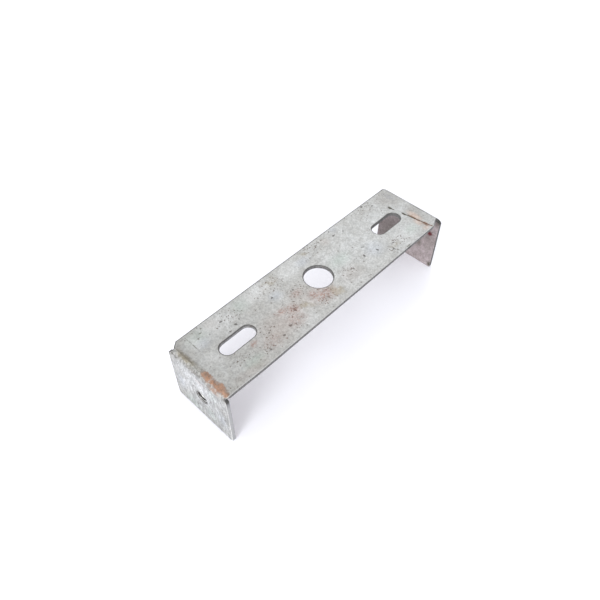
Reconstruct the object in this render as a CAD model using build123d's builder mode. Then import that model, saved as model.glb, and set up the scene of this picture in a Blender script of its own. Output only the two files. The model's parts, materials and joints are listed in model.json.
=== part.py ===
from build123d import *

import os
from math import cos, pi, radians, sin, tan

# A U bracket: one blanked steel strip, pierced, nicked at its two bend lines and folded.
# It stands on its two flange ends. X runs along the web, Y across the strip and Z up,
# and the origin is the middle of its footprint. Sizes are in millimetres.

# The strip and its fold
strip_width = 25.0
sheet = 1.2
length = 100.0  # over the outer faces of the flanges
height = 23.6  # from the flange ends to the top of the web
bend_inside_radius = 1.2
edge_roll = 0.2  # rounding that the blanking tool leaves round the strip's outer side
corner_radius = 0.5  # on the corners of the flange ends

# Holes pierced in the web
cable_hole_diameter = 9.5
slot_length = 12.7  # end to end
slot_width = 5.0
slot_spacing = 68.5  # between the middles of the slots
punch_roll = 0.15  # rounding that a punch leaves on the side it enters

# Tapped holes in the flanges, for side screws
tap_drill_diameter = 3.3
countersink_diameter = 4.2
countersink_angle = 120.0
screw_drop = 12.6  # from the top of the web down to the screws' axis
screw_offset = -0.4  # the strip lay a little to one side in the punch

# V notches in the strip's edges, one at each end of each bend. A mouth is measured round
# the outside of the bend, and a slip is how far its middle lies past the bend's middle.
notch_mouth = 3.5
notch_depth = 1.5
notch_root_radius = 0.2
far_left_mouth = 4.1
far_left_slip = -0.4
near_left_mouth = 2.3  # only half cut
near_left_depth = 0.8
near_left_slip = 0.6
torn_reach = 3.0  # how far the mouth of the near right notch is torn on into the web

# The crease that the folding tool scored beside one bend, broken where it passes the slot
crease_width = 0.45
crease_depth = 0.15
crease_setback = 5.7  # from the flange's outer face, measured on the strip's edge
crease_slant = 9.6  # degrees away from the bend line
crease_long_run = 12.3
crease_gap = 2.5
crease_short_run = 2.7

# Sizes that follow from those above
half_length = length / 2
half_width = strip_width / 2
bend_outside_radius = bend_inside_radius + sheet
bend_axis_x = half_length - bend_outside_radius
bend_axis_z = height - bend_outside_radius
overrun = sheet  # how far a cutting tool runs past the metal


def radial_plane(side, slip, distance):
    """Plane square to a bend's radius, at a slip past its middle and a distance from its axis."""
    angle = pi / 4 + slip / bend_outside_radius
    outward = Vector(side * sin(angle), 0, cos(angle))
    bend_axis = Vector(side * bend_axis_x, 0, bend_axis_z)
    return Plane(origin=bend_axis + outward * distance, x_dir=(0, 1, 0), z_dir=outward)


with BuildPart() as u_bracket:
    # The fold: the line of the strip's outer side, thickened inwards and drawn to its width.
    with BuildSketch(Plane.XZ):
        with BuildLine():
            FilletPolyline(
                (-half_length, 0),
                (-half_length, height),
                (half_length, height),
                (half_length, 0),
                radius=bend_outside_radius,
            )
            offset(amount=sheet, side=Side.RIGHT)
        make_face()
    extrude(amount=half_width, both=True)

    # The blanking tool blunted the corners of the flange ends.
    fillet(u_bracket.edges().filter_by(Axis.X).group_by(Axis.Z)[0], radius=corner_radius)

    # It also drew the strip's outer side down a little, all round its outline.
    fillet(u_bracket.edges().filter_by(Axis.X).group_by(Axis.Z)[-1], radius=edge_roll)

    # The cable hole and the two slots, pierced down through the web.
    web_top = Plane.XY.offset(height)
    with BuildSketch(web_top):
        Circle(cable_hole_diameter / 2)
        with GridLocations(slot_spacing, 0, 2, 1):
            SlotOverall(slot_length, slot_width)
    extrude(amount=-sheet, mode=Mode.SUBTRACT)

    # The punches drew the metal down a little round each hole.
    web_face = u_bracket.faces().filter_by(GeomType.PLANE).sort_by(Axis.Z)[-1]
    fillet([wire.edges() for wire in web_face.inner_wires()], radius=punch_roll)

    # A tapped hole in each flange, countersunk from outside.
    for side in (-1, 1):
        screw_point = (side * half_length, screw_offset, height - screw_drop)
        with Locations(Plane(origin=screw_point, z_dir=(side, 0, 0))):
            CounterSinkHole(
                radius=tap_drill_diameter / 2,
                counter_sink_radius=countersink_diameter / 2,
                depth=sheet,
                counter_sink_angle=countersink_angle,
            )

    # A V notch in each end of each bend. The tool fans out from the bend's axis, so that
    # the notch's walls stay square to the sheet all round the fold.
    for side, edge, mouth, depth, slip in (
        (-1, 1, far_left_mouth, notch_depth, far_left_slip),
        (-1, -1, near_left_mouth, near_left_depth, near_left_slip),
        (1, 1, notch_mouth, notch_depth, 0),
        (1, -1, notch_mouth, notch_depth, 0),
    ):
        for distance in (bend_inside_radius / 2, bend_outside_radius + overrun):
            half_mouth = distance * tan(mouth / 2 / bend_outside_radius)
            with BuildSketch(radial_plane(side, slip, distance)) as notch:
                with BuildLine():
                    Polyline(
                        (edge * (half_width - depth), 0),
                        (edge * half_width, half_mouth),
                        (edge * (half_width + overrun), half_mouth),
                        (edge * (half_width + overrun), -half_mouth),
                        (edge * half_width, -half_mouth),
                        close=True,
                    )
                make_face()
                root = notch.vertices().sort_by(Axis.X)[0 if edge > 0 else -1]
                fillet(root, radius=notch_root_radius)
        loft(ruled=True, mode=Mode.SUBTRACT)

    # The torn notch: at one corner the nick runs on into the web from halfway round the bend.
    torn_root_x = bend_axis_x + bend_outside_radius / 2
    with BuildSketch(web_top):
        with BuildLine():
            Polyline(
                (torn_root_x, notch_depth - half_width),
                (bend_axis_x - torn_reach, -half_width),
                (bend_axis_x - torn_reach, -half_width - overrun),
                (torn_root_x, -half_width - overrun),
                close=True,
            )
        make_face()
    extrude(amount=-bend_outside_radius, mode=Mode.SUBTRACT)

    # The crease: a shallow V groove in the top of the web, in two runs.
    along_crease = Vector(-tan(radians(crease_slant)), 1, 0).normalized()
    across_crease = along_crease.cross(Vector(0, 0, 1))
    crease_foot = Vector(half_length - crease_setback, -half_width, height)
    for start, run in ((0, crease_long_run), (crease_long_run + crease_gap, crease_short_run)):
        groove_start = crease_foot + along_crease * start
        with BuildSketch(Plane(origin=groove_start, x_dir=across_crease, z_dir=along_crease)):
            with BuildLine():
                Polyline(
                    (-crease_width / 2, 0),
                    (0, crease_depth),
                    (crease_width / 2, 0),
                    close=True,
                )
            make_face()
        extrude(amount=run, mode=Mode.SUBTRACT)

u_bracket.part.label = "u_bracket"

os.makedirs("parts", exist_ok=True)
export_step(u_bracket.part, "parts/u_bracket.step")
print(f"u_bracket: {u_bracket.part.volume:.1f} cubic mm")
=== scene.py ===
# %% [markdown]
# # A folded U bracket of galvanised steel
#
# The real bracket is one strip of zinc-coated sheet. A press pierces it and nicks its edges
# while it is flat, a die folds its two ends down, and a tap cuts a thread in each end.
# The CAD solid already has the size, the fold and the holes. This scene makes the same
# strip again as a finer mesh, in the order of the real work, because that is the easiest
# way to give it drawn-down edges, a burr, a real thread and a hand-worn surface.

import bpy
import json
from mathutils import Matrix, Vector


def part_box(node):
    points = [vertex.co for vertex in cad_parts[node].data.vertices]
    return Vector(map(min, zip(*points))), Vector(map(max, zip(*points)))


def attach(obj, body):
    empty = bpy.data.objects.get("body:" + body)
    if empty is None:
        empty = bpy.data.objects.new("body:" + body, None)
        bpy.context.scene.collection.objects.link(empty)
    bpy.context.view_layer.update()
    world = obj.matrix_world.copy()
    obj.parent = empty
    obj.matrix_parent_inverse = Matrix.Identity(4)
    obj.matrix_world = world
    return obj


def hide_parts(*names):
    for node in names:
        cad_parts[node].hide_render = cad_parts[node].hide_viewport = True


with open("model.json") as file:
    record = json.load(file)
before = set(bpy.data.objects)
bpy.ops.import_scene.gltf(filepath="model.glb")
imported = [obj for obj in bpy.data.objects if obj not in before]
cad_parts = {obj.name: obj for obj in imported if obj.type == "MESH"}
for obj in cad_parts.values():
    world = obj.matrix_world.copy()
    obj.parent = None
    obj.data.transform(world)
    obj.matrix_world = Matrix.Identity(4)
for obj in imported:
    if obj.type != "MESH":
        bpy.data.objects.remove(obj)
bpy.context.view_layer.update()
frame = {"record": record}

# %% The modules that the lesson uses
import json
from math import atan2, cos, pi, radians, sin, tan

import bmesh
import bpy
from mathutils import Matrix, Vector, noise

MM = 0.001  # one millimetre in Blender's metres
print("Blender", bpy.app.version_string)

# %% [markdown]
# ## Sizes
#
# The frame is the packed CAD model, so the outside of the strip and the holes come from it.
# Working in millimetres keeps the numbers readable and stays clear of the tiny tolerances
# that mesh operators have in metres. The finished mesh is scaled to metres once.

# %% Sizes read from the frame
far_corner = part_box("u_bracket")[1]
half_length, half_width, height = far_corner / MM
mounts = {mount["name"]: mount for mount in frame["record"]["mounts"]}
cable_hole = mounts["cable_hole"]["dims"]
slots = mounts["fixing_slots"]["dims"]
side_screw = mounts["side_screw_right"]
sheet = cable_hole["length_mm"]
print(f"strip {2 * half_length:.1f} x {2 * half_width:.1f} x {height:.1f}, sheet {sheet} mm")

# %% [markdown]
# ## The fold
#
# A bend in a real press is not a perfect arc: the punch leaves two firmer kinks with a
# flatter strip between them. The angle turned is therefore a smooth function of the way
# round the bend, and the path is walked in small steps. It starts along the web and ends
# straight down, scaled so that its outside fills the CAD solid's fold exactly.

# %% Walk round the fold
FOLD_STEPS = 16
FLATNESS = 0.85  # 0 gives a round bend, 1 gives two sharp kinks
bend_radius = 2.4  # outside the fold
bend_start = half_length - bend_radius
bend_run = (bend_radius - sheet / 2) * pi / 2  # the bend's share of the flat strip


def turned(share):
    """Angle turned after a share of the bend, from 0 to a quarter turn."""
    return pi / 2 * (share - FLATNESS * sin(4 * pi * share) / (4 * pi))


def walk_the_fold(steps):
    """Points of the outer side round the fold, from (0, 0) to (bend_radius, -bend_radius)."""
    points = [Vector((0, 0))]
    for step in range(steps):
        angle = turned((step + 0.5) / steps)
        points.append(points[-1] + Vector((cos(angle), -sin(angle))))
    size = bend_radius / points[-1].x
    return [point * size for point in points]


fold_path = walk_the_fold(FOLD_STEPS)
halfway = fold_path[FOLD_STEPS // 2]
print(f"half way round the fold: {halfway.x:.2f} mm out, {-halfway.y:.2f} mm down")


# %% Where a point of the flat strip goes
def fold(flat):
    """Where a point of the flat strip lies once folded. Its z is 0 on the outer side."""
    side = 1 if flat.x > 0 else -1
    past = abs(flat.x) - bend_start
    share = min(max(past / bend_run, 0), 1)
    step = min(int(share * FOLD_STEPS), FOLD_STEPS - 1)
    on_path = fold_path[step].lerp(fold_path[step + 1], share * FOLD_STEPS - step)
    beyond = past if past < 0 else 0
    drop = max(past - bend_run, 0)
    angle = turned(share)
    x = bend_start + beyond + on_path.x + sin(angle) * flat.z
    z = height + on_path.y - drop + cos(angle) * flat.z
    return Vector((side * x, flat.y, z))


half_blank = bend_start + bend_run + height - bend_radius
print(f"the flat strip is {2 * half_blank:.1f} mm long")

# %% [markdown]
# ## The blank
#
# The blank is drawn flat as an outline with only the corners it needs. Bevelling those
# vertices rounds them, as a worn cutting tool does. The holes are circles, and a slot is a
# circle whose two halves are moved apart. One triangle fill then closes the outline round
# the holes.

# %% Notches at the folds
round_fold = pi / 2 * bend_radius  # once round the outside of a fold
torn_reach = 3.0  # how far the torn notch's mouth runs on into the web
torn_start = 1.26  # where its tear starts, measured round the outside of the fold
NOTCHES = {  # (end, edge): mouth, depth, and how far its middle lies past the fold's middle
    (-1, 1): (4.1, 1.5, -0.4),
    (-1, -1): (2.3, 0.8, 0.6),
    (1, 1): (3.5, 1.5, 0),
    (1, -1): (3.5, 1.5, 0),
}


def on_blank(outside):
    """How far out on the flat blank a place lies that is measured round a fold's outside."""
    round_it = min(max(outside, 0), round_fold)
    return bend_start + round_it * bend_run / round_fold + outside - round_it


def notch(end, edge):
    """Points of one V notch, from the web's lip to the flange's lip."""
    mouth, depth, slip = NOTCHES[end, edge]
    middle = round_fold / 2 + slip
    root = edge * (half_width - depth)
    points = [
        (end * on_blank(middle - mouth / 2), edge * half_width),
        (end * on_blank(middle), root),
        (end * on_blank(middle + mouth / 2), edge * half_width),
    ]
    if (end, edge) == (1, -1):  # this one tore on into the web
        points[:1] = [(bend_start - torn_reach, edge * half_width), (on_blank(torn_start), root)]
    return points


print("corners of the notches:", [len(notch(*place)) for place in NOTCHES])

# %% Outline of the blank
corner_radius = 0.5
notch_root_radius = 0.2
CORNER_STEPS = 6


def blank_outline(bm):
    """Edges of the blank's outline, with rounded corners."""
    corners = [(-half_blank, -half_width)]
    corners += notch(-1, -1)[::-1] + notch(1, -1)
    corners += [(half_blank, -half_width), (half_blank, half_width)]
    corners += notch(1, 1)[::-1] + notch(-1, 1)
    corners += [(-half_blank, half_width)]
    face = bm.faces.new([bm.verts.new((x, y, 0)) for x, y in corners])
    ends = [v for v in bm.verts if abs(v.co.x) > half_blank - corner_radius]
    roots = [v for v in bm.verts if half_width - abs(v.co.y) > notch_root_radius]
    for verts, radius in ((ends, corner_radius), (roots, notch_root_radius)):
        bmesh.ops.bevel(
            bm, geom=verts, offset=radius, offset_type="OFFSET",
            segments=CORNER_STEPS, profile=0.5, affect="VERTICES", material=-1,
        )
    bmesh.ops.delete(bm, geom=bm.faces[:], context="FACES_ONLY")


blank = bmesh.new()
blank_outline(blank)
print(f"outline: {len(blank.verts)} corners")


# %% Pierce the holes
def round_hole(bm, x, y, radius, segments):
    """Corners of a circle, turned by half a side so that none lies on its middle lines."""
    made = bmesh.ops.create_circle(
        bm, cap_ends=False, segments=segments, radius=radius,
        matrix=Matrix.Translation((x, y, 0)) @ Matrix.Rotation(pi / segments, 4, "Z"),
    )
    return made["verts"]


def slot(bm, x, radius, length, segments):
    """Stretch a circle in the middle of the strip into a slot."""
    for vert in round_hole(bm, x, 0, radius, segments):
        vert.co.x += (length / 2 - radius) * (1 if vert.co.x > x else -1)


screw_x = bend_start + bend_run + height - bend_radius - side_screw["pos_m"][2] / MM
screw_y = side_screw["pos_m"][1] / MM
countersink_radius = 2.1
CABLE_HOLE_SIDES, SLOT_SIDES, SCREW_HOLE_SIDES = 72, 48, 60

round_hole(blank, 0, 0, cable_hole["r_mm"], CABLE_HOLE_SIDES)
for side in (-1, 1):
    slot_x = side * slots["spacing_x_mm"] / 2
    slot(blank, slot_x, slots["hole_r_mm"], slots["slot_length_mm"], SLOT_SIDES)
    round_hole(blank, side * screw_x, screw_y, countersink_radius, SCREW_HOLE_SIDES)
bmesh.ops.triangle_fill(blank, use_beauty=True, edges=blank.edges[:], normal=(0, 0, 1))
print(f"blank: {len(blank.verts)} corners, {len(blank.faces)} triangles")

# %% [markdown]
# ## Thickness, rolled edge and burr
#
# A blanking tool draws the sheet down where it enters and pushes up a burr where it
# leaves. The flat face is extruded to nearly the sheet's thickness, and three insets of
# the upper side rise along a quarter circle. They follow the outline and every hole at
# once. One shallow inset of the lower side leaves the burr.

# %% Give the strip its thickness
edge_roll = 0.2  # how far the blanking tool drew the outer side down
under = blank.faces[:]
made = bmesh.ops.extrude_face_region(blank, geom=under, use_keep_orig=True)["geom"]
upper = [item for item in made if isinstance(item, bmesh.types.BMFace)]
raised = [item for item in made if isinstance(item, bmesh.types.BMVert)]
bmesh.ops.translate(blank, verts=raised, vec=(0, 0, sheet - edge_roll))
bmesh.ops.translate(blank, verts=blank.verts, vec=(0, 0, -sheet))
bmesh.ops.recalc_face_normals(blank, faces=blank.faces)
print(f"thickened: {len(blank.faces)} faces")

# %% Roll the edges and raise the burr
ROLL_STEPS = 3
# The painted edge line, dark on the near edge and round the holes and lighter elsewhere, fades out
# across the next width.
edge_line_width = 0.2  # the dull line that follows every edge
burr_width = 0.08
burr_height = 0.03


def inset(bm, faces, thickness, depth):
    """Draw in the border of a region of faces, and raise or sink the region."""
    bmesh.ops.inset_region(
        bm, faces=faces, use_boundary=True, use_even_offset=True,
        thickness=thickness, depth=depth,
    )


for step in range(ROLL_STEPS):
    start, end = (pi / 2 * k / ROLL_STEPS for k in (step, step + 1))
    inset(
        blank, upper, edge_roll * (cos(start) - cos(end)), edge_roll * (sin(end) - sin(start))
    )

rim = blank.verts.layers.float.new("rim")  # 1 at a cut edge, 0 in the open face
for vert in blank.verts:
    vert[rim] = 1.0  # the insets copy it to the corners that they add
inset(blank, upper, edge_line_width, 0)
inset(blank, under, burr_width, -burr_height)
for vert in {v for face in upper + under for v in face.verts}:
    vert[rim] = 0.0
closed = all(edge.is_manifold for edge in blank.edges)
print(f"edges rolled: {len(blank.faces)} faces, closed {closed}")

# %% Mark the inner side
inner = blank.verts.layers.float.new("inner")  # 1 on the side that ends up inside the U
for vert in blank.verts:
    vert[inner] = float(vert.co.z < -sheet / 2)
depths = [vert.co.z for vert in blank.verts]
print(f"sheet: z {min(depths):.3f} to {max(depths):.3f}")

# %% [markdown]
# ## Rows for bending and for wear
#
# Only rows of vertices across the strip let it bend, so planes slice the blank: closely
# round the folds and loosely elsewhere, and lengthways too.

# %% Slice the blank
GRID = 2.5  # spacing of the loose rows
FLANGE_ROWS = 7
EDGE_ROWS = 4  # lengthways, on each side of the middle
SNAP = 0.03  # a corner this close to a plane counts as on it
LAND = 0.45  # the share of a cut wall that the tool burnished before the metal broke


def slice_all(bm, point, normal):
    """Cut everything along a plane."""
    geom = bm.verts[:] + bm.edges[:] + bm.faces[:]
    bmesh.ops.bisect_plane(bm, geom=geom, dist=SNAP, plane_co=point, plane_no=normal)


rows = [GRID * k for k in range(int(bend_start / GRID) + 1)]
rows += [bend_start + bend_run * k / FOLD_STEPS for k in range(FOLD_STEPS + 1)]
rows += [bend_start + bend_run + GRID * k for k in range(1, FLANGE_ROWS + 1)]
for row in rows:
    for x in {row, -row}:
        slice_all(blank, (x, 0, 0), (1, 0, 0))
for k in range(-EDGE_ROWS, EDGE_ROWS + 1):
    slice_all(blank, (0, GRID * k, 0), (0, 1, 0))
slice_all(blank, (0, 0, -sheet * LAND), (0, 0, 1))
print(f"sliced: {len(blank.faces)} faces")

# %% Tell the cut walls from the coated faces
COATED, CUT, TAPPED = range(3)  # the order of the materials
STEEP = 0.3  # a face whose normal rises less than this is a wall
blank.normal_update()
for face in blank.faces:
    face.material_index = CUT if abs(face.normal.z) < STEEP else COATED
print(f"cut walls: {sum(face.material_index == CUT for face in blank.faces)} faces")

# %% [markdown]
# ## The tapped holes
#
# Each flange has a coarse 4 mm thread in a hole that was barely countersunk. A thread is a
# groove whose depth depends only on how far round and how far in a point is, so the wall
# of the hole is sliced into thin rings and each of its vertices moves by that rule.

# %% The shape of the thread
thread_minor = side_screw["dims"]["r_mm"]
thread_major = 2.0
thread_pitch = 0.7
CREST, FLANK = 0.18, 0.66  # shares of half a pitch
countersink_slope = tan(radians(120 / 2))  # across, for each millimetre down


def thread_radius(turns):
    """Radius of the thread after so many turns along its helix: a crest, a flank, a root."""
    phase = 1 - abs((turns % 1) * 2 - 1)  # 0 on a crest, 1 in a root
    groove = min(max((phase - CREST) / FLANK, 0), 1)
    return thread_minor + (thread_major - thread_minor) * groove


def tapped_radius(z, angle):
    """Radius of the hole's wall at a depth and an angle, with a shallow countersink."""
    sunk = countersink_radius + (z + edge_roll) * countersink_slope
    return max(sunk, thread_radius(z / thread_pitch + angle / (2 * pi)))


print(f"thread: {2 * thread_radius(0):.1f} mm on its crests, {2 * thread_radius(0.5):.1f} in its roots")

# %% Cut the threads
RINGS = 20
wall_reach = countersink_radius + SNAP


def around(bm, x, reach):
    """The faces of a hole's wall, with their edges and corners."""
    centre = Vector((x, screw_y))
    faces = [f for f in bm.faces if all((v.co.xy - centre).length < reach for v in f.verts)]
    return [item for f in faces for item in (f, *f.edges, *f.verts)]


for side in (-1, 1):
    centre = Vector((side * screw_x, screw_y))
    wall = list(dict.fromkeys(around(blank, centre.x, wall_reach)))
    for face in (item for item in wall if isinstance(item, bmesh.types.BMFace)):
        face.material_index = TAPPED
    for ring in range(1, RINGS):
        wall = bmesh.ops.bisect_plane(
            blank, geom=wall, plane_co=(0, 0, -sheet * ring / RINGS), plane_no=(0, 0, 1)
        )["geom"]
    for vert in blank.verts:
        offset = vert.co.xy - centre
        if offset.length < wall_reach and vert.co.z < -edge_roll:
            radius = tapped_radius(vert.co.z, atan2(offset.y, offset.x))
            vert[rim] = (thread_major - radius) / (thread_major - thread_minor)
        elif offset.length < countersink_radius + 2 * burr_width and vert.co.z < burr_width - sheet:
            radius = offset.length + thread_major - countersink_radius
        else:
            continue
        vert.co.xy = centre + offset * (radius / offset.length)
print(f"threads: {sum(f.material_index == TAPPED for f in blank.faces)} faces of wall")

# %% [markdown]
# ## The scored crease
#
# The folding tool once struck the web beside the right bend and left a shallow groove, in
# two runs. Planes along the groove give it edges, and the vertices between them sink.

# %% Where the crease runs
crease_half_width = 0.22
crease_setback = 5.7  # from the outside of the right flange, measured on the strip's edge
crease_foot = Vector((half_length - crease_setback, -half_width))
crease_slant = radians(9.6)
crease_runs = ((-1.0, 12.3), (14.8, 17.5))  # along the groove from the strip's edge
along = Vector((-sin(crease_slant), cos(crease_slant)))
across = Vector((cos(crease_slant), sin(crease_slant)))


def on_crease(point):
    """How far along the groove a point is, and how far to its side."""
    offset = Vector((point.x, point.y)) - crease_foot
    return offset.dot(along), offset.dot(across)


print("runs of the crease in mm:", [round(end - start, 1) for start, end in crease_runs])

# %% Slice the web along the crease
GROOVE_FLOOR = 0.35  # the share of its half width that is flat at the bottom
TAPER = 0.5


def near_crease(item):
    """Whether a corner, edge or face of the top lies by the crease."""
    verts = [item] if isinstance(item, bmesh.types.BMVert) else item.verts
    spots = [on_crease(v.co) for v in verts]
    upside = all(v.co.z > -edge_roll for v in verts)
    inside = min(s[0] for s in spots) < crease_runs[1][1] + SNAP
    beside = min(s[1] for s in spots) < 1 and max(s[1] for s in spots) > -1
    return upside and inside and beside


cuts = [(crease_foot + across * side * crease_half_width * share, across)
        for side in (-1, 1) for share in (1, GROOVE_FLOOR)]
for start, end in crease_runs:
    for station in (start, start + TAPER, end - TAPER, end):
        cuts.append((crease_foot + along * station, along))
everything = blank.verts[:] + blank.edges[:] + blank.faces[:]
patch = [item for item in everything if near_crease(item)]
for point, normal in cuts:
    patch = bmesh.ops.bisect_plane(
        blank, geom=patch, dist=SNAP / 3, plane_co=(*point, 0), plane_no=(*normal, 0)
    )["geom"]
print(f"sliced along the crease: {len(blank.faces)} faces")

# %% Sink the crease
crease_depth = 0.15
SLACK = 0.01  # a share of a limit, so that rounding doesn't decide on which side a corner is
sunk = blank.verts.layers.float.new("crease")


def run_share(station):
    """1 along a run of the crease, falling to 0 over the taper at its ends."""
    inside = max(min(station - start, end - station) for start, end in crease_runs)
    return min(max(inside / TAPER, 0), 1)


for vert in blank.verts:
    station, side = on_crease(vert.co)
    if vert.co.z > -edge_roll * (1 + SLACK) and abs(side) < crease_half_width * (1 - SLACK):
        wall = (1 - abs(side) / crease_half_width) / (1 - GROOVE_FLOOR)
        share = run_share(station) * min(wall, 1)
        vert[sunk] = share
        vert.co.z -= crease_depth * share
print(f"crease: {sum(v[sunk] > 0 for v in blank.verts)} corners sunk")

# %% [markdown]
# ## Folding, and the marks of handling
#
# Cheap strip is never quite flat. Before folding, a slow noise presses the sheet in by a
# few hundredths of a millimetre, always inwards, so that it stays inside the solid. Then
# every vertex goes to its place round the fold.

# %% Fold the strip
WAVE = 0.05  # depth of the slow dents
WAVE_LENGTH = 9.0
PULL = 0.25  # the die pulled one edge in beside the left fold
PULL_LENGTH = 12.0


def dent(flat):
    """How far the sheet is pressed in at a place."""
    return -WAVE * (0.5 + 0.5 * noise.noise(Vector((flat.x, flat.y, 0)) / WAVE_LENGTH))


def pulled_in(flat):
    """How far the near edge is drawn in beside the left fold."""
    if flat.y > 0 or flat.x > 0:
        return 0
    near = 1 - min(abs(-bend_start - flat.x) / PULL_LENGTH, 1)
    return PULL * near * near * (3 - 2 * near) * (-flat.y / half_width) ** 3


for vert in blank.verts:
    flat = vert.co.copy()
    flat.y += pulled_in(vert.co)
    flat.z += dent(vert.co)
    vert.co = fold(flat)
print(f"folded: {max(vert.co.z for vert in blank.verts):.2f} mm high")

# %% Make the piece
SHARP = radians(35)
blank.normal_update()
for face in blank.faces:
    face.smooth = True
for edge in blank.edges:
    edge.smooth = edge.calc_face_angle(pi) < SHARP
bmesh.ops.scale(blank, vec=(MM, MM, MM), verts=blank.verts)
mesh = bpy.data.meshes.new("folded_strip")
blank.to_mesh(mesh)
blank.free()
bracket = bpy.data.objects.new("folded_strip", mesh)
bpy.context.scene.collection.objects.link(bracket)
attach(bracket, "root")
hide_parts("u_bracket")
print(f"folded strip: {len(mesh.polygons)} faces")

# %% [markdown]
# ## Nodes with few words
#
# Every finish here is made of nodes, so that it needs no picture files and works from any
# side. A small helper adds a node and fills its sockets, each with a number, a colour or
# another node's output. The finishes are thought of in millimetres, as the metal is.

# %% A board to lay nodes on
class Board:
    """A node tree, with short ways to add nodes to it."""

    def __init__(self, tree):
        self.tree = tree

    def add(self, kind, plugs=None, **settings):
        """Add a node with its settings, and fill its sockets."""
        node = self.tree.nodes.new(kind)
        for name, value in settings.items():
            setattr(node, name, value)
        for name, value in (plugs or {}).items():
            if isinstance(value, bpy.types.NodeSocket):
                self.tree.links.new(value, node.inputs[name])
            else:
                node.inputs[name].default_value = value
        return node

    def calc(self, operation, *values):
        """Arithmetic on values that change over the surface."""
        return self.add("ShaderNodeMath", dict(enumerate(values)), operation=operation).outputs[0]

    def move(self, operation, *values, out=0):
        """Arithmetic on places."""
        plugs = dict(enumerate(values))
        return self.add("ShaderNodeVectorMath", plugs, operation=operation).outputs[out]

    def span(self, value, low, high, start=0.0, end=1.0):
        """Stretch a value from low..high to start..end, with soft ends."""
        plugs = {0: value, 1: low, 2: high, 3: start, 4: end}
        return self.add("ShaderNodeMapRange", plugs, interpolation_type="SMOOTHSTEP").outputs[0]

    def mix(self, share, first, second, blend="MIX"):
        """Lay one colour over another."""
        plugs = {0: share, 6: first, 7: second}
        return self.add("ShaderNodeMix", plugs, data_type="RGBA", blend_type=blend).outputs[2]

    def lay(self, over, mask, strength, under):
        """Lay one colour over another where a mask says, at most at this strength."""
        return self.mix(self.calc("MULTIPLY", mask, strength), under, over)

    def shade(self, colour, factor):
        """Darken or lighten a colour by a factor near 1."""
        return self.mix(1.0, colour, factor, "MULTIPLY")

    def carried(self, name):
        """A value that the mesh carries at each of its corners."""
        return self.add("ShaderNodeAttribute", attribute_name=name).outputs["Fac"]

    def use(self, effect, **values):
        """Place a shared effect and give back its output."""
        plugs = {name.capitalize(): value for name, value in values.items()}
        tree = bpy.data.node_groups[effect]
        return self.add("ShaderNodeGroup", plugs, node_tree=tree).outputs[0]

    def plug_in(self, **looks):
        """Plug each look into the material's own shader."""
        shader = self.tree.nodes["Principled BSDF"]
        for name, value in looks.items():
            self.tree.links.new(value, shader.inputs[name.replace("_", " ")])


print("ways to add a node:", [name for name in vars(Board) if not name.startswith("_")])

# %% [markdown]
# ## Effects that the finishes share
#
# Old zinc is cloudy, speckled and stained. Clouds are a noise at a stated size. Specks are
# the middles of scattered cells, of which only a share is kept. A stain is everything
# inside a stated oval. Each is a node group, built once and placed in every finish that
# needs it.

# %% A helper for shared effects
def shared_effect(name, sockets, output):
    """A node group with these inputs and one output. Gives its board and its two ends."""
    tree = bpy.data.node_groups.new(name, "ShaderNodeTree")
    for title, kind in sockets.items():
        tree.interface.new_socket(title, in_out="INPUT", socket_type="NodeSocket" + kind)
    tree.interface.new_socket(output, in_out="OUTPUT", socket_type="NodeSocketFloat")
    board = Board(tree)
    ends = board.add("NodeGroupInput"), board.add("NodeGroupOutput")
    return board, ends[0].outputs, ends[1].inputs


# %% Clouds
board, given, result = shared_effect("clouds", {"Place": "Vector", "Size": "Float"}, "Value")
noise_scale = board.calc("DIVIDE", 1.0, given["Size"])
cloud = board.add("ShaderNodeTexNoise", {"Vector": given["Place"], "Scale": noise_scale,
                                         "Detail": 3.0, "Roughness": 0.55})
board.tree.links.new(board.span(cloud.outputs[0], 0.22, 0.78), result["Value"])
print(f"clouds: {len(board.tree.nodes)} nodes")

# %% Specks
board, given, result = shared_effect(
    "specks", {"Place": "Vector", "Size": "Float", "Share": "Float"}, "Mask"
)
cells = board.add("ShaderNodeTexVoronoi", {
    "Vector": given["Place"], "Scale": board.calc("DIVIDE", 0.4, given["Size"]),
})
lot = board.add("ShaderNodeSeparateColor", {0: cells.outputs["Color"]}).outputs
kept = board.calc("LESS_THAN", lot[0], given["Share"])
reach = board.calc("MULTIPLY_ADD", lot[1], 0.25, 0.2)
speck = board.span(board.calc("DIVIDE", cells.outputs["Distance"], reach), 1.0, 0.5)
board.tree.links.new(board.calc("MULTIPLY", speck, kept), result["Mask"])
print(f"specks: {len(board.tree.nodes)} nodes")

# %% Stains
board, given, result = shared_effect(
    "stain", {"Place": "Vector", "Centre": "Vector", "Reach": "Vector", "Softness": "Float"},
    "Mask",
)
away = board.move("DIVIDE", board.move("SUBTRACT", given["Place"], given["Centre"]), given["Reach"])
full_inside = board.calc("SUBTRACT", 1.0, given["Softness"])
oval = board.span(board.move("LENGTH", away, out=1), 1.0, full_inside)
board.tree.links.new(oval, result["Mask"])
print("shared effects:", [group.name for group in bpy.data.node_groups])

# %% [markdown]
# ## Places and spots
#
# Every effect reads a place on the metal. A place may be shaken a little by a fine noise
# first, which gives the effect a ragged outline. A spot is an oval at a stated place, and a
# list of spots becomes one mask.

# %% Places
def places(board, *shakes):
    """The place on the metal in millimetres, as it is and with each ragged shake."""
    coordinates = board.add("ShaderNodeTexCoord").outputs["Object"]
    place = board.move("SCALE", coordinates)
    place.node.inputs["Scale"].default_value = 1 / MM
    jitter = board.add("ShaderNodeTexNoise", {"Vector": place, "Scale": 0.9, "Detail": 4.0,
                                              "Roughness": 0.65}).outputs["Color"]
    off_centre = board.move("SUBTRACT", jitter, (0.5, 0.5, 0.5))
    return place, *(board.move("MULTIPLY_ADD", off_centre, (shake,) * 3, place)
                    for shake in shakes)


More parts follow.
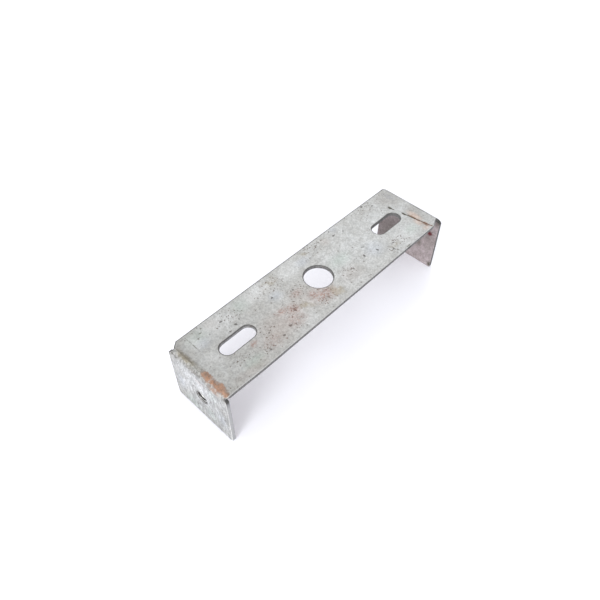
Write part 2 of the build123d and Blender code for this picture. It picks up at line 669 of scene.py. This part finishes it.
zinc = bpy.data.materials.new("galvanised_zinc")
zinc.use_nodes = True
metal = Board(zinc.node_tree)
place, nudged, shaken = places(metal, 0.5, 1.6)
print(f"places: {len(metal.tree.nodes)} nodes")


# %% Spots
def on_web(x, y, wide, deep, strength=1.0):
    """A spot on the top of the web, which does not show through to its underside."""
    return (x, y, height), (wide, deep, 0.9), strength


def on_flange(side, y, z, wide, tall, strength=1.0):
    """A spot on the outer face of the left flange or the inner face of the right one."""
    x = side * (half_length - (sheet if side > 0 else 0))
    return (x, y, z), (0.9, wide, tall), strength


def on_fold(y, z, wide, tall, strength=1.0):
    """A spot on the left fold, where it has turned down a little."""
    return (-half_length + 1.4, y, z), (1.6, wide, tall), strength


print("a spot in the middle of the web:", on_web(0, 0, 1, 1))


# %% Masks
def stained(board, place, spots, softness):
    """The strongest of several stains at each place."""
    mask = 0.0
    for centre, reach, strength in spots:
        spot = board.use("stain", place=place, centre=centre, reach=reach, softness=softness)
        mask = board.calc("MAXIMUM", mask, board.calc("MULTIPLY", spot, strength))
    return mask


def crumbled(board, mask, crumbs, amount=0.9):
    """A stain eaten into crumbs by a cloud that is finer than it."""
    eaten = board.calc("MULTIPLY", board.calc("SUBTRACT", 1.0, crumbs), amount)
    return board.span(board.calc("SUBTRACT", mask, eaten), 0.0, 0.6)


# %% Colours
def tone(red, green, blue):
    """A colour as it looks on screen, 0 to 255, turned into the light it stands for."""
    return tuple(((c / 255 + 0.055) / 1.055) ** 2.4 for c in (red, green, blue)) + (1.0,)


print("mid grey is", round(tone(128, 128, 128)[0], 3), "of the light")

# %% [markdown]
# ## The zinc
#
# Thin zinc on cheap strip dulls to a greyer, browner bloom in places. The colour starts as two
# zincs that clouds swap between, and a painted sheen makes the web lighter towards its right end.
# Faint tints come over them, since zinc salts are greenish, bluish or pinkish, and a near-white
# tint is partly pale zinc and partly painted light.

# %% Clouds of several sizes
slow_cloud = metal.use("clouds", place=place, size=9.0)
quick_cloud = metal.use("clouds", place=shaken, size=2.2)
mottle = metal.use("clouds", place=shaken, size=0.9)
crumbs = metal.use("clouds", place=place, size=0.6)
grain = metal.use("clouds", place=place, size=0.45)
blotches = metal.calc("MULTIPLY_ADD", quick_cloud, 0.6, metal.calc("MULTIPLY", mottle, 0.4))
print(f"zinc so far: {len(metal.tree.nodes)} nodes")

# %% Two zincs
along_web, across_web, _ = metal.add("ShaderNodeSeparateXYZ", {0: place}).outputs
# Painted sheen: a value that rises along the strip paints the zinc lighter towards the right end.
painted_light = metal.span(along_web, -45.0, 45.0, 0.2, 0.75)
brightness = metal.calc("MULTIPLY_ADD", slow_cloud, 0.45, metal.calc("MULTIPLY", painted_light, 0.6))
zinc_colour = metal.mix(brightness, tone(150, 149, 146), tone(182, 185, 187))
zinc_colour = metal.lay(tone(164, 162, 157), quick_cloud, 0.35, zinc_colour)
zinc_colour = metal.shade(zinc_colour, metal.span(mottle, 0.0, 1.0, 0.9, 1.09))
print(f"two zincs: {len(metal.tree.nodes)} nodes")

# %% Tints
TINT_STRENGTH = 0.4
TINTS = (  # each a colour, and where it lies
    (tone(150, 164, 156), (on_web(-42, 9, 6, 4), on_web(-36, -9, 6, 3), on_web(10, 0, 7, 4),
                           on_web(38, -8, 5, 3), on_web(-25, 9, 5, 4), on_flange(-1, 5, 3, 6, 4),
                           on_flange(-1, -4, 5.5, 3, 5), on_flange(-1, -6, 18, 2.5, 4))),
    (tone(172, 178, 188), (on_web(-42, 6, 3.5, 3), on_web(22, -5, 6, 5), on_web(-15, 4, 4, 3),
                           on_web(46, 8, 2, 4), on_web(19, 11, 2, 2), on_web(1, 8, 5, 3),
                           on_flange(-1, 9, 10, 3, 5), on_flange(-1, -9, 9, 3, 6))),
    (tone(156, 142, 136), (on_web(8, -7, 7, 5, 0.5), on_web(13, 9, 3, 2.5, 0.6),
                           on_web(-21, -5, 15, 8), on_web(-10, -3, 9, 8, 0.7),
                           on_web(-36, 10, 4, 3, 0.5), on_web(-38, -10.5, 9, 2.5, 0.7),
                           on_flange(-1, -1, 19, 4, 2))),
    (tone(128, 123, 118), (on_web(44, 7, 8, 8), on_web(-42.5, -10, 3, 1.6), on_web(46, -3, 4, 6),
                           on_web(33, 9, 9, 4, 0.5), on_web(20, 11, 6, 3, 0.5))),
    # Near-white tint, partly pale zinc and partly painted light: it lightens the top of the left flange
    # and the far half of the web.
    (tone(222, 224, 226), (on_flange(-1, 0, 17.2, 16, 4.6), on_flange(-1, -6, 11, 5, 6, 0.6),
                           on_flange(-1, 6, 11, 5, 5, 0.9), on_flange(-1, 1, 4, 10, 4, 0.5),
                           on_web(-43.5, 8, 4, 5, 0.9), on_web(-43, 0, 4, 5, 0.6),
                           on_web(-35, 9, 11, 5, 0.75), on_web(-19, 9, 11, 5, 0.75),
                           on_web(-5, 9, 8, 5, 0.5), on_web(34, -8.5, 9, 5, 0.5))),
    (tone(128, 126, 112), (on_fold(0, 22.9, 15, 2.2),)),
)
for colour, spots in TINTS:
    tinted = stained(metal, shaken, spots, 1.0)
    zinc_colour = metal.lay(colour, tinted, TINT_STRENGTH, zinc_colour)
print(f"{len(TINTS)} tints in {sum(len(spots) for colour, spots in TINTS)} spots")

# %% Rubbed streaks on the outer faces of the flanges
streaky = metal.use("clouds", place=metal.move("MULTIPLY", shaken, (1.0, 1.0, 0.35)), size=0.8)
from_middle = metal.calc("ABSOLUTE", along_web)
on_outer_face = metal.span(from_middle, half_length - 1.4, half_length - 0.4)
UNTOUCHED = (1, 1, 1, 1)  # a shade that changes nothing
streak_shade = metal.mix(on_outer_face, UNTOUCHED, metal.span(streaky, 0.2, 0.8, 0.76, 1.27))
zinc_colour = metal.shade(zinc_colour, streak_shade)
print(f"with streaks: {len(metal.tree.nodes)} nodes")

# %% Crackled zinc on the left fold
crackle = metal.use("clouds", place=metal.move("MULTIPLY", shaken, (1.0, 0.4, 1.0)), size=0.6)
on_bend = stained(metal, nudged, (on_fold(0, 22.4, 16, 2.8),), 0.6)
crackle_shade = metal.mix(on_bend, UNTOUCHED, metal.span(crackle, 0.25, 0.75, 0.74, 1.18))
zinc_colour = metal.shade(zinc_colour, crackle_shade)
print(f"with crackle: {len(metal.tree.nodes)} nodes")

# %% [markdown]
# ## Specks, pits and rust
#
# Tiny brown specks come through the coating in swarms, and a few deeper pits are nearly
# black. Where the die stretched the zinc over the left fold, and where the crease broke
# it, the steel below has rusted orange.

# %% Specks and pits
SWARMS = (
    on_web(-26.5, -4.5, 3.5, 3.5), on_web(-16, -3, 6, 3.5), on_web(-17.5, -8.5, 4, 3),
    on_web(-37.5, -6, 4, 2.5), on_web(-30, -9, 4, 3), on_web(-14, 9, 8, 5),
    on_web(8, 10, 7, 4), on_web(-31, 8, 6, 4), on_web(-9, 1, 4, 4), on_web(8, -5, 5, 3),
    on_web(29, -9, 9, 4, 0.7), on_web(-4, -7, 5, 4), on_web(35, 10, 8, 3, 0.6),
    on_flange(-1, 0, 12, 14, 12, 0.5), ((half_length, 1, 11), (0.9, 12, 11), 0.6),
)
PITS = (
    on_web(-33.2, 8.5, 0.6, 0.6), on_web(-30.8, 4.5, 0.5, 0.6), on_web(-33.6, 3.7, 0.4, 0.4),
    on_web(-28.8, 5.3, 0.4, 0.3), on_web(-38.5, 7.2, 0.5, 0.5, 0.5), on_web(-16.3, 4.2, 0.6, 0.5),
    on_web(-9.5, 2, 0.5, 0.4), on_web(-20, -7.2, 0.6, 0.5), on_web(-23.8, -8.5, 0.5, 0.5),
    on_web(-29.9, -9.5, 0.5, 0.5), on_web(-26.3, -4.8, 0.6, 0.4), on_web(-14.9, -4.1, 0.5, 0.6),
    on_web(17.4, 9, 0.9, 0.4), on_web(17.3, 11.3, 0.5, 0.4), on_web(21, 8.2, 0.5, 0.4),
    on_web(35, 11.5, 0.5, 0.5), on_web(38, 9.2, 0.8, 0.4, 0.6), on_web(17, -4.7, 0.4, 0.7),
    on_web(22.3, -5.8, 0.5, 0.6), on_web(28.5, -7.5, 0.6, 0.5), on_web(26.4, -9.5, 0.6, 0.6),
    on_web(19.8, -1.5, 0.9, 0.3, 0.6), on_flange(-1, 2.5, 4.2, 0.7, 0.9, 0.6),
    on_flange(-1, -7, 15.5, 0.4, 0.7, 0.5),
)
swarm = stained(metal, shaken, SWARMS, 0.8)
dots = metal.use("specks", place=shaken, size=0.27, share=metal.calc("MULTIPLY", swarm, 1.2))
stray_dots = metal.use("specks", place=place, size=0.3, share=0.1)
specked = metal.calc("MAXIMUM", dots, metal.calc("MULTIPLY", stray_dots, 0.6))
pitted = stained(metal, shaken, PITS, 0.7)
zinc_colour = metal.lay(tone(78, 56, 44), specked, 0.85, zinc_colour)
zinc_colour = metal.lay(tone(52, 46, 42), pitted, 0.75, zinc_colour)
print(f"{len(SWARMS)} swarms of specks and {len(PITS)} pits")

# %% A yellowish stain and a red one
RED_STAIN = (
    on_web(-4.6, -6.2, 3.6, 3.2), on_web(-6.6, -4.2, 3, 3, 0.95), on_web(-4, -6, 7, 5.5, 0.75),
    on_web(-32, -4.4, 2.4, 1.6, 0.8), on_web(-27.5, -8, 6, 4, 0.35), on_web(-18, -1.8, 3.6, 1.8, 0.8),
    on_web(-15, -3.5, 3.4, 3.4, 0.85), on_web(-10, 0.2, 3.4, 2.2, 0.6), on_web(-17, -7, 5, 4, 0.5),
    on_fold(-6, 23.2, 8, 3.4, 0.8),
)
YELLOW_STAIN = (
    on_web(-0.5, -8, 5, 4.5, 0.9), on_web(-13, 9, 7, 4, 0.6), on_web(-11, -5, 6, 5, 0.6),
    on_web(4, 10, 5, 2.5, 0.5), on_web(28, -8.5, 5, 3, 0.5), on_fold(6, 23.2, 8, 2.4, 0.8),
)
yellow = crumbled(metal, stained(metal, shaken, YELLOW_STAIN, 1.0), quick_cloud, 0.5)
zinc_colour = metal.lay(tone(136, 122, 92), yellow, 0.45, zinc_colour)
reddened = stained(metal, shaken, RED_STAIN, 1.0)
haze = metal.span(crumbs, 0.1, 0.8, 0.2, 0.78)
zinc_colour = metal.lay(tone(134, 98, 86), reddened, haze, zinc_colour)
red_dots = metal.use("specks", place=shaken, size=0.3, share=metal.calc("MULTIPLY", reddened, 0.8))
zinc_colour = metal.lay(tone(110, 66, 56), red_dots, 0.5, zinc_colour)
print(f"stains: {len(RED_STAIN)} red and {len(YELLOW_STAIN)} yellowish spots")

# %% Rust on the left fold and beside the crease
FOLD_RUST = (
    on_fold(-2.9, 23.2, 3.4, 2.2), on_fold(-8.2, 22.9, 5.6, 3.2),
    on_fold(-5.6, 23.3, 2, 1.4, 0.8), on_fold(-9.2, 23.2, 2.4, 2.0), on_fold(-11.3, 23.2, 1.8, 2.0),
    on_flange(-1, -7, 22.2, 5, 2.4, 0.6), on_web(-47.9, -2.8, 1.0, 2.8),
    on_web(-47.8, -8.4, 1.2, 3.8, 0.85), on_web(43.5, -9.8, 1.5, 2.8, 0.75),
    on_web(43.1, -5.2, 0.8, 4.6, 0.85), on_web(42.4, -1.4, 0.5, 1.8, 0.5),
)
PALE_RUST = (
    on_web(44.3, -4.6, 1.8, 4.6), on_web(42.4, -7.6, 1.8, 3, 0.8), on_web(42.2, -11, 2, 1.6, 0.7),
)
pale = stained(metal, nudged, PALE_RUST, 0.9)
zinc_colour = metal.lay(tone(196, 168, 152), pale, 0.5, zinc_colour)
rusted = crumbled(metal, stained(metal, shaken, FOLD_RUST, 1.0), crumbs, 0.2)
rust_colour = metal.mix(blotches, tone(104, 76, 58), tone(156, 116, 88))
rust_shade = metal.span(crumbs, 0.2, 0.8, 0.84, 1.1)
rust_colour = metal.shade(rust_colour, rust_shade)
zinc_colour = metal.lay(rust_colour, rusted, 0.82, zinc_colour)
print(f"rust: {len(FOLD_RUST)} spots, and {len(PALE_RUST)} where it only tints the zinc")

# %% [markdown]
# ## Dirt and painted shade in the crease, on the folds and along the edges
#
# The mesh carries three values at its corners for this: how near a corner is to a cut edge,
# how deep in the crease, and whether it is on the inner side. Dirt settles in the crease. A line of
# painted shade runs along the near edge and round the holes, and the inner side was never wiped, so
# it is browner, with painted shade where it lies under the web.

# %% Dirt in the crease
rim_value = metal.carried("rim")
crease_value = metal.carried("crease")
inner_value = metal.carried("inner")

crease_dirt = metal.mix(metal.span(across_web, -3.0, -9.0), tone(58, 54, 42), tone(112, 70, 42))
in_crease = metal.span(crease_value, 0.0, 0.6)
zinc_colour = metal.lay(crease_dirt, in_crease, 0.9, zinc_colour)
print(f"with dirt in the crease: {len(metal.tree.nodes)} nodes")

# %% Dirt and painted shade on the folds
# Thin dark marks: dirt and cracks, and painted shade along the upper kink of the left fold, in the root
# of the near left notch, along the top of the right fold and along the far edge.
KINK_DIRT_AND_SHADE = (
    on_web(-48.5, 6.5, 0.3, 6.5, 0.6), on_web(-44.4, 8, 0.3, 5, 0.7),
    on_web(-41.9, 8.5, 0.9, 0.3, 0.9), on_web(-40.2, 9.6, 0.9, 0.35, 0.9),
    on_web(-39, 10.8, 0.5, 0.6, 0.8), ((-49.8, 10.6, 22.2), (0.8, 0.9, 0.35), 1.0),
    ((-49.9, 9.2, 21.9), (0.8, 0.7, 0.3), 0.8),
    on_flange(-1, -12, 22.6, 0.8, 1.2), on_web(31, -12.2, 1.5, 0.5),
    on_web(43.0, -5, 0.5, 3.0, 0.7), on_web(43.6, -9, 0.5, 3.0, 0.6),
    on_web(49.3, 1, 1.2, 15, 0.9), on_web(48.8, -4, 1.0, 6, 0.9), on_web(0, 12.8, 90, 0.8, 0.8),
)
kink_dirt_and_shade = stained(metal, nudged, KINK_DIRT_AND_SHADE, 0.7)
kink_strength = metal.span(crumbs, 0.1, 0.7, 0.25, 0.85)
zinc_colour = metal.lay(tone(80, 78, 66), kink_dirt_and_shade, kink_strength, zinc_colour)
# Painted shade in wide grey bands: at the top of the left fold's slope, just below it on the fold, and
# at the far right end of the web.
FOLD_SHADE = (
    on_web(-48.2, 6, 1.3, 9), ((-49.7, 2, 22.2), (1.2, 15, 1.0), 1.0), on_web(46.5, 9, 4, 5, 0.5),
)
painted_fold_shade = stained(metal, nudged, FOLD_SHADE, 1.0)
zinc_colour = metal.lay(tone(112, 106, 100), painted_fold_shade, 0.4, zinc_colour)
print(f"dirt on the folds: {len(KINK_DIRT_AND_SHADE)} thin marks and {len(FOLD_SHADE)} wide ones")

# %% Dirt caked at the ends of the slot and the crease
CAKED_DIRT = (
    on_web(41.5, 4.0, 0.75, 1.3), on_web(42.4, -1.4, 0.55, 1.5), on_web(47.9, 12.3, 0.9, 0.6),
    on_web(46.9, 12.3, 0.5, 0.4), on_web(48.9, -11.2, 0.8, 1.4), on_web(49.4, 9, 0.7, 2, 0.7),
)
caked = stained(metal, nudged, CAKED_DIRT, 0.7)
zinc_colour = metal.lay(tone(70, 68, 58), caked, 0.85, zinc_colour)
print(f"caked dirt: {len(CAKED_DIRT)} spots")

# %% The inner side
bloom = metal.mix(blotches, tone(122, 112, 112), tone(172, 162, 164))
# Painted shade inside the U: the inner face of the right flange is painted darker up under the web,
# along its near edge and in the near corner under the fold.
INNER_SHADE = (
    on_flange(1, 7, 5, 9, 13, 0.5), on_flange(1, 3, 17, 9, 9, 0.4), on_flange(1, -6, 9, 2, 4, 0.6),
    on_flange(1, -11.8, 20.5, 1.6, 3, 0.35), on_flange(1, -12.0, 1.4, 1.4, 1.4, 0.9),
    on_flange(1, -10, 13, 5, 6, 0.3), on_flange(1, -10, 9.6, 3, 4, 0.35),
    ((half_length - 1.6, -half_width, height - 1.8), (2.4, 2.6, 2.2), 0.9),
)
bloom = metal.mix(stained(metal, shaken, INNER_SHADE, 0.8), bloom, tone(78, 73, 62))
red_spot = stained(metal, shaken, (on_flange(1, -9.6, 15.3, 1.5, 1.3),), 0.7)
bloom = metal.mix(red_spot, bloom, tone(84, 18, 24))
zinc_colour = metal.mix(inner_value, zinc_colour, bloom)
# The spots counted here are painted shade.
print(f"inner side: {len(INNER_SHADE)} spots of dirt")

# %% Painted shade along the near edge and round the holes, lighter rims elsewhere
# Edge line: painted shade, dark along the near edge and round the holes, and a lighter colour on the
# other edges.
HOLE_RIMS = (on_web(-34.3, 0, 10, 6), on_web(0, 0, 8, 8, 0.5), on_web(34.3, 0, 10, 6, 0.8))
rim_shade_share = metal.span(across_web, -half_width, 1.2 - half_width)
rim_shade_share = metal.calc("MAXIMUM", rim_shade_share, stained(metal, place, HOLE_RIMS, 0.3))
rim_colour = metal.mix(rim_shade_share, tone(204, 205, 204), tone(66, 64, 62))
rim_strength = metal.calc("MULTIPLY_ADD", rim_shade_share, 0.4, 0.45)
at_rim = metal.span(rim_value, 0.0, 0.9)
zinc_colour = metal.lay(rim_colour, at_rim, rim_strength, zinc_colour)
print(f"zinc's colour: {len(metal.tree.nodes)} nodes")

# %% [markdown]
# ## Gloss and relief of the zinc
#
# Clean zinc is metallic and fairly smooth. Where it is rusted, dirty or worn thin it is
# neither, so one value for dullness drives both. Relief adds the grain and the crust of
# the rust, and takes away the specks and pits, which are tiny craters.

# %% Gloss
zinc_colour = metal.shade(zinc_colour, metal.span(grain, 0.0, 1.0, 0.88, 1.11))
dirt = metal.calc("MAXIMUM", rusted, metal.calc("MAXIMUM", specked, pitted))
dirt = metal.calc("MAXIMUM", dirt, metal.calc("MULTIPLY", inner_value, 0.6))
dullness = metal.calc("MAXIMUM", dirt, metal.calc("MULTIPLY", rim_value, 0.5))
roughness = metal.calc("MULTIPLY_ADD", quick_cloud, 0.14, 0.4)
roughness = metal.calc("ADD", roughness, metal.calc("MULTIPLY", dullness, 0.35))
metallic = metal.span(dullness, 0.0, 1.0, 0.75, 0.05)
print(f"with gloss: {len(metal.tree.nodes)} nodes")

# %% Relief
BUMP = {"Strength": 0.5, "Distance": 0.03 * MM}
crust = metal.calc("MULTIPLY", rusted, metal.use("clouds", place=shaken, size=0.5))
relief = 0.0
for part, height_share in (
    (grain, 0.35), (quick_cloud, 0.6), (specked, -0.8), (pitted, -1.4), (crust, 1.2),
):
    relief = metal.calc("MULTIPLY_ADD", part, height_share, relief)
bump = metal.add("ShaderNodeBump", {"Height": relief, **BUMP}).outputs[0]
metal.plug_in(Base_Color=zinc_colour, Roughness=roughness, Metallic=metallic, Normal=bump)
print(f"zinc: {len(metal.tree.nodes)} nodes")

# %% [markdown]
# ## Cut and tapped steel
#
# The cut walls and the threads have no zinc. Bare steel goes dull grey, with streaks up and
# down the wall from the tool. Both finishes come from one function. Some walls carry a painted
# highlight, sheltered ones are dirty, the thread is painted nearly black as shade inside the
# hole, and its crests carry a painted glint.

# %% Bare steel
def bare_steel(name, dark, light, smoothest, crests=None, dirt=(), painted_light=()):
    """Steel without zinc, with the colour of its crests, and lists of dirty spots and of spots with a
    painted highlight.
    """
    material = bpy.data.materials.new(name)
    material.use_nodes = True
    wall = Board(material.node_tree)
    place, shaken = places(wall, 0.8)
    streaks = wall.move("MULTIPLY", shaken, (1.0, 1.0, 0.35))
    colour = wall.mix(wall.use("clouds", place=streaks, size=0.5), dark, light)
    tarnish = wall.use("clouds", place=place, size=4.0)
    colour = wall.lay(dark, tarnish, 0.3, colour)
    # Painted glint: the crests of the thread are painted bright.
    if crests:
        colour = wall.mix(wall.span(wall.carried("rim"), 0.3, 0.9), colour, crests)
    # Painted highlight: the listed spots are painted lighter.
    if painted_light:
        colour = wall.mix(stained(wall, shaken, painted_light, 0.3), colour, tone(172, 173, 174))
    if dirt:
        colour = wall.mix(stained(wall, shaken, dirt, 0.7), colour, tone(56, 55, 52))
    spots = wall.use("specks", place=shaken, size=0.4, share=0.35)
    colour = wall.lay(tone(88, 66, 50), spots, 0.5, colour)
    relief = wall.use("clouds", place=streaks, size=0.25)
    wall.plug_in(
        Base_Color=colour,
        Roughness=wall.calc("MULTIPLY_ADD", tarnish, 0.2, smoothest),
        Metallic=wall.span(tarnish, 0.0, 1.0, 0.6, 0.3),
        Normal=wall.add("ShaderNodeBump", {"Height": relief, **BUMP}).outputs[0],
    )
    print(f"{name}: {len(wall.tree.nodes)} nodes")
    return material


# %% Cut and tapped steel
WALL_DIRT = (
    ((half_length - 1.2, -half_width, height - 1.6), (2.2, 2.4, 2.8), 0.7),
    ((half_length - 0.6, -half_width, 10), (3, 2, 18), 0.6),
    ((-half_length + 0.8, -half_width, height - 2.0), (1.0, 1.4, 1.6), 0.7),
    ((31, -half_width, height - 0.6), (1.6, 0.6, 0.8), 0.7),
    ((34.3, 0, height + 0.1), (12, 7, 1.5), 0.3),
)
# Painted highlight on the near cut edge of the left flange and on the walls of the left slot.
WALL_HIGHLIGHTS = (
    ((-half_length + 0.6, -half_width, 8), (3, 3, 14), 0.85),
    ((-34.3, 0, height - 1.2), (12, 7, 0.9), 0.5),
)
cut_steel = bare_steel(
    "cut_steel", tone(82, 81, 81), tone(128, 127, 127), 0.5, dirt=WALL_DIRT, painted_light=WALL_HIGHLIGHTS
)
# Painted shade and glint: the thread's dark tones stand for shade inside the hole, and the crest colour
# is a painted glint.
tapped_steel = bare_steel(
    "tapped_steel", tone(34, 33, 32), tone(78, 77, 76), 0.3, crests=tone(215, 215, 213)
)
for material in (zinc, cut_steel, tapped_steel):
    mesh.materials.append(material)
print("finishes:", [material.name for material in mesh.materials])

# %% [markdown]
# ## Floor, camera and light
#
# The bracket stands on white paper under a plain white sky. A wide lamp low on the left
# lights the left flange and rakes over the web, and a weak one on the right softens the
# other side. The paper glows a little, as paper does that passes light on.

# %% Floor
FLOOR_REACH = 2  # metres from the middle
floor_mesh = bpy.data.meshes.new("floor")
ground = bmesh.new()
bmesh.ops.create_grid(ground, x_segments=1, y_segments=1, size=FLOOR_REACH)
ground.to_mesh(floor_mesh)
ground.free()
floor = bpy.data.objects.new("floor", floor_mesh)
bpy.context.scene.collection.objects.link(floor)
paper = bpy.data.materials.new("white_paper")
paper.use_nodes = True
paper_looks = paper.node_tree.nodes["Principled BSDF"].inputs
paper_looks["Base Color"].default_value = (0.88, 0.89, 0.95, 1)
paper_looks["Emission Color"].default_value = (1, 1, 1, 1)
paper_looks["Emission Strength"].default_value = 0.08
floor_mesh.materials.append(paper)
print(f"floor: {2 * FLOOR_REACH} m wide")

# %% Camera
AZIMUTH, ELEVATION, ROLL = radians(-46.46), radians(49.74), radians(0.28)
AIM = Vector((-11.05, -2.55, 23.6)) * MM
DISTANCE = 176.8 * MM
LENS = 34.88  # millimetres, for a sensor 36 mm wide
NEAREST = 0.01  # what is closer, in metres, isn't drawn
camera_data = bpy.data.cameras.new("camera")
camera_data.lens = LENS
camera_data.clip_start = NEAREST
camera = bpy.data.objects.new("camera", camera_data)
bpy.context.scene.collection.objects.link(camera)
turn = (
    Matrix.Rotation(AZIMUTH, 4, "Z")
    @ Matrix.Rotation(pi / 2 - ELEVATION, 4, "X")
    @ Matrix.Rotation(ROLL, 4, "Z")
)
camera.matrix_world = Matrix.Translation(AIM) @ turn @ Matrix.Translation((0, 0, DISTANCE))
bpy.context.scene.camera = camera
print("camera at", [round(c / MM, 1) for c in camera.matrix_world.translation], "mm")

# %% Sky
scene = bpy.context.scene
scene.view_settings.view_transform = "Standard"
world = bpy.data.worlds.new("studio")
world.use_nodes = True
sky = world.node_tree.nodes["Background"].inputs
sky["Color"].default_value = (1, 1, 1, 1)
sky["Strength"].default_value = 1.0
scene.world = world
print("sky strength", sky["Strength"].default_value)


# %% Lamps
def softbox(name, place, size, power):
    """A round lamp of a size in metres and a power in watts, aimed at the middle of the floor."""
    light = bpy.data.lights.new(name, "AREA")
    light.shape = "DISK"
    light.size = size
    light.energy = power
    lamp = bpy.data.objects.new(name, light)
    place = Vector(place)
    aim = place.to_track_quat("Z", "Y").to_matrix().to_4x4()
    lamp.matrix_world = Matrix.Translation(place) @ aim
    scene.collection.objects.link(lamp)
    print(f"{name} lamp: {power} W from {place.length:.2f} m away")


softbox("key", (-0.75, -0.2, 0.22), 0.4, 6)
softbox("window", (0.26, 0.2, 0.4), 0.3, 0.36)
